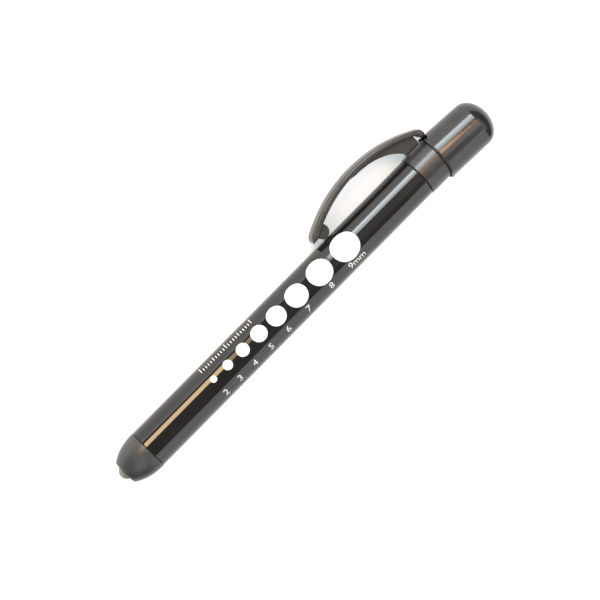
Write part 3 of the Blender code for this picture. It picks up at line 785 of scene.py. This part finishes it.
def clip_under(z):
    """The clip's under side: flat below the tip, then along the arc to the hook at the rear end."""
    flat_end = CLIP_TIP + 1.9 * MM
    if z < flat_end:
        return TIP_Y
    if z < NUB_Z:
        return TIP_Y + (clip_inner_y(NUB_Z) - TIP_Y) * (z - flat_end) / (NUB_Z - flat_end)
    if z < PAD_REAR:
        return clip_inner_y(z)
    if z < HOOK_FRONT:
        share = (z - PAD_REAR) / (HOOK_FRONT - PAD_REAR)
        return clip_inner_y(PAD_REAR) * (1.0 - share) + HOOK_NECK * share
    near = min(z - HOOK_FRONT, CLIP_END - z, HOOK_ROUND)
    return HOOK_FOOT + HOOK_ROUND - sqrt(max(HOOK_ROUND**2 - (HOOK_ROUND - near) ** 2, 0.0))


def clip_stations():
    """Places along the clip where its section is drawn, closer together at the rounded ends."""
    tip = [TIP_Z - TIP_ROUND * cos(a) for a in spread(0.0, pi - TIP_ANGLE, 14)]
    end = [END_Z + END_ROUND * cos(a) for a in spread(END_ANGLE, 0.0, 14)]
    middle = spread(tip[-1], end[0], 90)
    hook = [HOOK_FRONT + HOOK_ROUND * share**2 for share in spread(0.0, 1.0, 4)]
    neck = [PAD_REAR, HOOK_FRONT - TINY]
    return sorted(tip[:-1] + middle + end[1:] + neck + hook)


def clip_half_width(z):
    """Half width, drawn in at the tip and at the rear end so that both ends have round corners."""
    corner = 0.7 * MM
    near = min(z - CLIP_TIP, CLIP_END - z)
    if near >= corner:
        return CLIP_HALF_WIDTH
    return CLIP_HALF_WIDTH - corner + sqrt(max(corner**2 - (corner - near) ** 2, 0.0))


def clip_section(z):
    """The strip's section (x, y): a crowned back with round edges over a flatter under side."""
    half = clip_half_width(z)
    top = clip_top(z)
    under = clip_under(z)
    thick = max(top - under, 1e-6)
    back_round = min(0.95 * MM, thick * 0.45)
    under_round = min(0.9 * MM, thick * 0.4)
    crown = min(0.22 * MM, thick * 0.12)
    half_section = []
    for x in spread(0.0, half - back_round, 5):
        half_section.append((x, top - crown * (x / half) ** 2))
    shoulder = top - crown * ((half - back_round) / half) ** 2
    for a in spread(pi / 2, 0.0, 6)[1:]:
        x = half - back_round + back_round * cos(a)
        half_section.append((x, shoulder - back_round + back_round * sin(a)))
    for a in spread(0.0, -pi / 2, 4):
        x = half - under_round + under_round * cos(a)
        half_section.append((x, under + under_round + under_round * sin(a)))
    half_section.append((0.0, under))
    left = [(-x, y) for x, y in reversed(half_section[1:-1])]
    return half_section + left


def clip_strip_into(shape):
    """Adds the clip's arm, a skin over its sections."""
    previous = None
    stations = clip_stations()
    for z in stations:
        ring = [shape.verts.new((x, y, z)) for x, y in clip_section(z)]
        if previous:
            count = len(ring)
            for k in range(count):
                n = (k + 1) % count
                shape.faces.new((previous[k], previous[n], ring[n], ring[k]))
        else:
            first = ring
        previous = ring
    shape.faces.new(list(reversed(first)))
    shape.faces.new(previous)


def clip_rib_outline():
    """The rib under the clip's rear half: it swells out of the arm and ends on the pad."""
    start_z = 103.0 * MM
    centre_z = 107.6 * MM
    centre_y = 3.5 * MM
    length = 15.7 * MM
    height = 9.95 * MM
    foot = PAD_TOP + 0.15 * MM
    hidden = 0.6 * MM
    swell = []
    for share in spread(0.0, 1.0, 10)[:-1]:
        z = start_z + (centre_z - start_z) * share
        eased = share * share * (3.0 - 2.0 * share)
        inner = clip_inner_y(z) + 0.05 * MM
        swell.append((z, inner + (centre_y + height - inner) * eased))
    foot_angle = asin((foot - centre_y) / height)
    free_edge = arc(centre_z, centre_y, length, height, pi / 2, foot_angle, 36)
    rear = [(PAD_REAR, foot), (PAD_REAR, clip_inner_y(PAD_REAR) + hidden)]
    inside = [(z, clip_inner_y(z) + hidden) for z in spread(PAD_REAR - 0.7 * MM, start_z, 24)]
    return [*swell, *free_edge, *rear, *inside]


def clip_nub_outline():
    """The nub under the clip's tip: a disc with its front lower flank cut straight."""
    flank_end = radians(246.0)
    around = 2 * pi - radians(64.0)
    return arc(NUB_Z, NUB_Y, NUB_RADIUS, NUB_RADIUS, flank_end, flank_end + around, 56)


def make_pocket_clip():
    """The clip in one piece: its arm with the rib and the nub."""
    strip = bmesh.new()
    clip_strip_into(strip)
    clip = finished("pocket_clip_arm", strip, CLIP_LOOK, "clip")
    rib = mesh_of(lambda shape: slab_into(shape, clip_rib_outline(), RIB_HALF_WIDTH, 0.15 * MM))
    nub = mesh_of(lambda shape: slab_into(shape, clip_nub_outline(), NUB_HALF_WIDTH, 0.35 * MM))
    combine(clip, rib, "UNION")
    combine(clip, nub, "UNION")
    shade(clip, 32.0)
    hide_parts("pocket_clip")


def make_push_cap():
    """The cap with its rim bead, dome, boss for the plunger and notch for the clip's pad."""
    tip = CAP_LENGTH
    dome_start = tip - CAP_DOME_HEIGHT
    dome = arc(0.0, dome_start, CAP_TOP_RADIUS, CAP_DOME_HEIGHT, pi / 2, 0.0, 40)
    bore = CAP_RIM_RADIUS - CAP_WALL
    roof = dome_start + 0.6 * MM
    bead = arc(CAP_RIM_RADIUS - 0.18 * MM, 0.34 * MM, 0.3 * MM, 0.34 * MM, radians(55), -pi / 2, 10)
    profile = [
        (0.0, tip),
        *dome[1:],
        *bead,
        (bore + 0.1 * MM, 0.0),
        (bore, 0.1 * MM),
        (bore, dome_start - 2.0 * MM),
        (bore - 1.4 * MM, roof),
        (BOSS_RADIUS, roof),
        (BOSS_RADIUS, BOSS_FRONT),
        (BOSS_BORE, BOSS_FRONT),
        (BOSS_BORE, BOSS_FLOOR),
        (0.0, BOSS_FLOOR),
    ]
    leant = PEN @ Matrix.Translation((0.0, 0.0, CAP_RIM)) @ Matrix.Rotation(CAP_LEAN, 4, "X")
    cap = turned("push_cap_shell", profile, CAP_LOOK, "cap", closed=False, steps=192, matrix=leant)
    low = Vector((-2.65 * MM, 4.5 * MM, -1.5 * MM))
    high = Vector((2.65 * MM, 9.0 * MM, 2.0 * MM))
    notch = mesh_of(lambda shape: box_into(shape, low, high, 0.8 * MM, 1, 8))
    combine(cap, notch, "DIFFERENCE")
    shade(cap, 32.0)
    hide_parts("push_cap")


# ---------------------------------------------------------------- printed gauge

INK_FLOOR = 0.006 * MM
INK_TOP = 0.02 * MM
GAUGE_ANGLE = radians(70.2)
NUMBER_ANGLE = radians(120.7)
RULER_ANGLE = radians(23.4)
FIRST_DOT = 36.6 * MM
RULE_MIDDLE = FIRST_DOT + 9.0 * MM
FIGURE_HEIGHT = 2.2 * MM
DOT_GAPS = (3.2, 2.55, 2.05, 1.55, 1.75, 1.9, 1.9)


def on_barrel(z, arc_length, angle, lift):
    """A point over the barrel: angle runs from the clip to -X, and arc_length back to the clip."""
    turn = angle - arc_length / BARREL_RADIUS
    radius = BARREL_RADIUS + lift
    return Vector((-radius * sin(turn), radius * cos(turn), z))


def printed(name, flat, centre_z, angle):
    """Wraps a flat bmesh, x along the pen and y towards the clip, on the barrel as an ink film."""
    for axis_y in spread(-6.0 * MM, 6.0 * MM, 60):
        geometry = flat.verts[:] + flat.edges[:] + flat.faces[:]
        bmesh.ops.bisect_plane(
            flat, geom=geometry, dist=TINY, plane_co=(0.0, axis_y, 0.0), plane_no=(0.0, 1.0, 0.0)
        )
    made = bmesh.ops.extrude_face_region(flat, geom=flat.faces[:])
    lifted = {g for g in made["geom"] if isinstance(g, bmesh.types.BMVert)}
    for vert in flat.verts:
        lift = INK_TOP if vert in lifted else INK_FLOOR
        vert.co = on_barrel(centre_z + vert.co.x, vert.co.y, angle, lift)
    return finished(name, flat, INK_LOOK, "pen", sharp=40.0)


def flat_disc(radius):
    """A flat round dot."""
    flat = bmesh.new()
    bmesh.ops.create_circle(flat, cap_ends=True, radius=radius, segments=96)
    return flat


def flat_text(words, height):
    """Flat outlines of plain figures, centred, of that cap height."""
    curve = bpy.data.curves.new("figure", "FONT")
    curve.body = words
    curve.size = 1.0
    curve.align_x = "CENTER"
    curve.resolution_u = 6
    drawn = bpy.data.objects.new("figure", curve)
    bpy.context.scene.collection.objects.link(drawn)
    bpy.context.view_layer.update()
    mesh = bpy.data.meshes.new_from_object(
        drawn.evaluated_get(bpy.context.evaluated_depsgraph_get())
    )
    bpy.data.objects.remove(drawn, do_unlink=True)
    flat = bmesh.new()
    flat.from_mesh(mesh)
    bmesh.ops.remove_doubles(flat, verts=flat.verts, dist=1e-5)
    top = max(v.co.y for v in flat.verts)
    factor = height / top
    bmesh.ops.scale(flat, vec=(factor, factor, 1.0), verts=flat.verts)
    bmesh.ops.translate(flat, vec=(0.0, -height / 2, 0.0), verts=flat.verts)
    return flat


def flat_ticks():
    """A plain 20 mm rule: a short tick each millimetre, longer ones at 5 and 10."""
    flat = bmesh.new()
    half_line = 0.11 * MM
    for i in range(21):
        tall = 2.3 * MM if i % 10 == 0 else 1.7 * MM if i % 5 == 0 else 1.15 * MM
        x = (i - 10) * MM
        corners = [(-half_line, 0.0), (half_line, 0.0), (half_line, tall), (-half_line, tall)]
        flat.faces.new([flat.verts.new((x + cx, cy - 1.15 * MM, 0.0)) for cx, cy in corners])
    return flat


def make_gauge():
    """The eight dots with their figures, and the rule beside them."""
    centre = FIRST_DOT
    for index in range(8):
        size = 2 + index
        if index:
            centre += (size - 0.5 + DOT_GAPS[index - 1]) * MM
        printed(f"gauge_dot_{size}", flat_disc(size * MM / 2), centre, GAUGE_ANGLE)
        words = "9mm" if size == 9 else str(size)
        printed(f"gauge_number_{size}", flat_text(words, FIGURE_HEIGHT), centre, NUMBER_ANGLE)
    printed("gauge_rule", flat_ticks(), RULE_MIDDLE, RULER_ANGLE)


# ---------------------------------------------------------------- inside


def coil_points(front, rear, front_radius, rear_radius, turns, per_turn=32):
    """Centre line of a compression spring whose end turns lie almost flat, as the CAD winds it."""
    closed_turns = 0.9
    closed_pitch = 0.12
    count = int(turns * per_turn)
    points = []
    for i in range(count + 1):
        turn = turns * i / count
        rise_in = min(turn, closed_turns) * closed_pitch
        rise_out = max(turn - (turns - closed_turns), 0.0) * closed_pitch
        climb = min(max(turn - closed_turns, 0.0), turns - 2 * closed_turns)
        climb /= turns - 2 * closed_turns
        share = rise_in + rise_out + climb * (1.0 - 2 * closed_turns * closed_pitch)
        radius = front_radius + (rear_radius - front_radius) * share
        angle = 2 * pi * turn
        height = front + (rear - front) * share
        points.append(Vector((radius * cos(angle), radius * sin(angle), height)))
    return points


def make_spring(name, node, front_radius, rear_radius, turns):
    """A coil of round wire between the ends of its CAD node."""
    front = along_pen(node, 0) + SPRING_WIRE
    rear = along_pen(node, 1) - SPRING_WIRE
    shape = bmesh.new()
    centres = coil_points(front, rear, front_radius, rear_radius, turns)
    sweep_into(shape, centres, SPRING_WIRE, 12)
    spring = finished(name, shape, STEEL_LOOK, "pen", sharp=50.0)
    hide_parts(node)
    return spring


def make_return_spring():
    """The spring under the cap."""
    radius = RETURN_SPRING_RADIUS
    spring = make_spring("return_spring_coil", "return_spring", radius, radius, 8.0)
    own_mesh(spring)


def dress_cad_nodes():
    """Better materials on the CAD nodes that keep their own shape."""
    looks = {
        "led_anode_lead": TINNED_LOOK, "led_cathode_lead": TINNED_LOOK, "led_holder": WHITE_LOOK,
        "ground_ring": BRASS_LOOK, "front_contact": BRASS_LOOK, "spring_cup": BRASS_LOOK,
        "contact_carrier": WHITE_LOOK, "earth_washer": BRASS_LOOK, "plunger_rod": BRASS_LOOK,
        "contact_disc": BRASS_LOOK, "stop_sleeve": WHITE_LOOK,
    }
    for cell in ("battery_front", "battery_rear"):
        looks[cell + "_can"] = JACKET_LOOK
        looks[cell + "_terminal"] = NICKEL_LOOK
        looks[cell + "_washer"] = RED_LOOK
    for name, look in looks.items():
        frame["nodes"][name].data.materials.clear()
        frame["nodes"][name].data.materials.append(look)


# ---------------------------------------------------------------- stage, light, camera

VIEW_ROLL = radians(29.9)
CAMERA_DISTANCE = 506.0 * MM
CAMERA_FOOT = 28.9 * MM
AIM = 70.48 * MM
AIM_SIDE = 0.88 * MM
PEN_SLANT = radians(45.35)
LENS = 105.3
SENSOR = 36.0
PEN_MIDDLE = 75.0 * MM
END_BOX_ANGLE = radians(58)
END_BOX_DISTANCE = 0.9
END_BOX_SIZE = (1.0, 0.5)
END_BOX_RADIANCE = 1.3
FLOOR_GLOW = 0.48
FLOOR_GLOW_COLOUR = (0.86, 0.94, 1.0, 1.0)
WORLD_STRENGTH = 0.25
PEN_AXIS = Vector((1.0, 0.0, 0.0))
TOWARDS_CAMERA = Vector((0.0, sin(VIEW_ROLL), cos(VIEW_ROLL)))
TOWARDS_CLIP = Vector((0.0, cos(VIEW_ROLL), -sin(VIEW_ROLL)))


def axis_point(z):
    """A point on the pen's axis, in the row's frame."""
    return PEN @ Vector((0.0, 0.0, z))


def make_camera():
    """Looks down on the pen from the clip's side, with the nose to the lower left."""
    side_step = TOWARDS_CLIP * AIM_SIDE
    place = axis_point(CAMERA_FOOT) + TOWARDS_CAMERA * CAMERA_DISTANCE - side_step
    target = axis_point(AIM) - side_step
    back = (place - target).normalized()
    along = Vector((1.0, 0.0, 0.0))
    along = (along - back * along.dot(back)).normalized()
    clipwards = back.cross(along)
    right = along * cos(PEN_SLANT) - clipwards * sin(PEN_SLANT)
    up = along * sin(PEN_SLANT) + clipwards * cos(PEN_SLANT)
    data = bpy.data.cameras.new("camera")
    data.lens = LENS
    data.sensor_width = SENSOR
    data.sensor_fit = "HORIZONTAL"
    data.clip_start = 0.01
    camera = bpy.data.objects.new("camera", data)
    bpy.context.scene.collection.objects.link(camera)
    matrix = Matrix((right, up, back)).transposed().to_4x4()
    matrix.translation = place
    camera.matrix_world = matrix
    bpy.context.scene.camera = camera


def soft_box(name, size, radiance, across, direction, place, colour=(1.0, 1.0, 1.0)):
    """A rectangular lamp with its first side along across, that shines back along direction."""
    data = bpy.data.lights.new(name, "AREA")
    data.shape = "RECTANGLE"
    data.size, data.size_y = size
    data.energy = radiance * pi * data.size * data.size_y
    data.color = colour
    light = bpy.data.objects.new(name, data)
    bpy.context.scene.collection.objects.link(light)
    matrix = Matrix((across, direction.cross(across), direction)).transposed().to_4x4()
    matrix.translation = place
    light.matrix_world = matrix


def bank(name, angles, distance, along, radiance, colour):
    """A soft box along the pen that faces it.

    angles are those of its two long edges round the pen, from the camera's side to the gauge's;
    along gives its two ends, measured along the pen from the nose.
    """
    middle = (angles[0] + angles[1]) / 2
    direction = TOWARDS_CAMERA * cos(middle) - TOWARDS_CLIP * sin(middle)
    size = (along[1] - along[0], 2 * distance * tan(abs(angles[1] - angles[0]) / 2))
    place = axis_point((along[0] + along[1]) / 2) + direction * distance
    soft_box(name, size, radiance, PEN_AXIS, direction, place, colour)


def end_box(name, side):
    """A large soft box beyond one end of the pen, whose shadow stays under the pen."""
    direction = Vector((side * cos(END_BOX_ANGLE), 0.0, sin(END_BOX_ANGLE)))
    place = axis_point(PEN_MIDDLE) + direction * END_BOX_DISTANCE
    across = Vector((0.0, 1.0, 0.0))
    soft_box(name, END_BOX_SIZE, END_BOX_RADIANCE, across, direction, place)


def make_stage():
    """The pale floor, faintly lit from below like a light table."""
    floor_look = Look("pale_floor", (0.93, 0.93, 0.93), 0.7)
    cloudy = floor_look.noise(6.0, 2.0)
    floor_look.colour(floor_look.mix(cloudy, (0.92, 0.92, 0.925), (0.95, 0.95, 0.95)))
    shape = bmesh.new()
    bmesh.ops.create_grid(shape, x_segments=1, y_segments=1, size=3.0)
    mesh = bpy.data.meshes.new("floor")
    shape.to_mesh(mesh)
    shape.free()
    floor_look.shader.inputs["Emission Color"].default_value = FLOOR_GLOW_COLOUR
    floor_look.shader.inputs["Emission Strength"].default_value = FLOOR_GLOW
    mesh.materials.append(floor_look.material)
    floor = bpy.data.objects.new("floor", mesh)
    floor.location.z = CAD_BOX[0].z - 0.02 * MM
    bpy.context.scene.collection.objects.link(floor)


def make_world():
    """Weak even light from all round."""
    world = bpy.data.worlds.new("studio")
    bpy.context.scene.world = world
    world.use_nodes = True
    background = world.node_tree.nodes["Background"]
    background.inputs["Color"].default_value = (1.0, 1.0, 1.0, 1.0)
    background.inputs["Strength"].default_value = WORLD_STRENGTH


def make_lights():
    """White boards, a cool window by the cap, warm lamps over nose and cap, and end boxes."""
    white = (1.0, 1.0, 1.0)
    window = (0.86, 0.95, 1.0)
    gold = (1.0, 0.72, 0.38)
    amber = (1.0, 0.56, 0.27)
    warm = (1.0, 0.84, 0.72)
    bank("board_high", (radians(54), radians(87)), 0.9, (-0.06, 0.4), 1.95, white)
    bank("board_low", (radians(87), radians(119)), 0.9, (-0.06, 0.4), 1.5, white)
    bank("board_clip_side", (radians(-59), radians(-45)), 0.9, (-0.2, 0.55), 2.3, white)
    bank("window_edge", (radians(-43), radians(-28)), 0.6, (0.15, 0.36), 16.0, window)
    bank("window", (radians(-28), radians(-16)), 0.6, (0.15, 0.36), 9.5, window)
    bank("gold_lamp", (radians(-35), radians(-14)), 0.6, (-0.06, 0.06), 16.0, gold)
    bank("gold_fade", (radians(-35), radians(-14)), 0.6, (0.06, 0.085), 6.0, gold)
    bank("amber_lamp", (radians(-13), radians(3)), 0.6, (0.247, 0.295), 20.0, amber)
    bank("warm_wall", (radians(-13), radians(28)), 0.7, (0.16, 0.27), 0.4, warm)
    bank("cap_fill", (radians(4), radians(26)), 0.7, (0.27, 0.42), 1.6, warm)
    end_box("nose_box", -1.0)
    end_box("cap_box", 1.0)


make_camera()
make_barrel()
make_nose_cone()
make_thread_sleeve()
make_nose_o_ring()
make_led()
make_clip_band()
make_pocket_clip()
make_push_cap()
make_gauge()
make_spring("tail_spring_coil", "tail_spring", TAIL_SPRING_SMALL, TAIL_SPRING_LARGE, 5.0)
make_return_spring()
dress_cad_nodes()
make_stage()
make_world()
make_lights()

bpy.context.scene.view_settings.view_transform = "Standard"
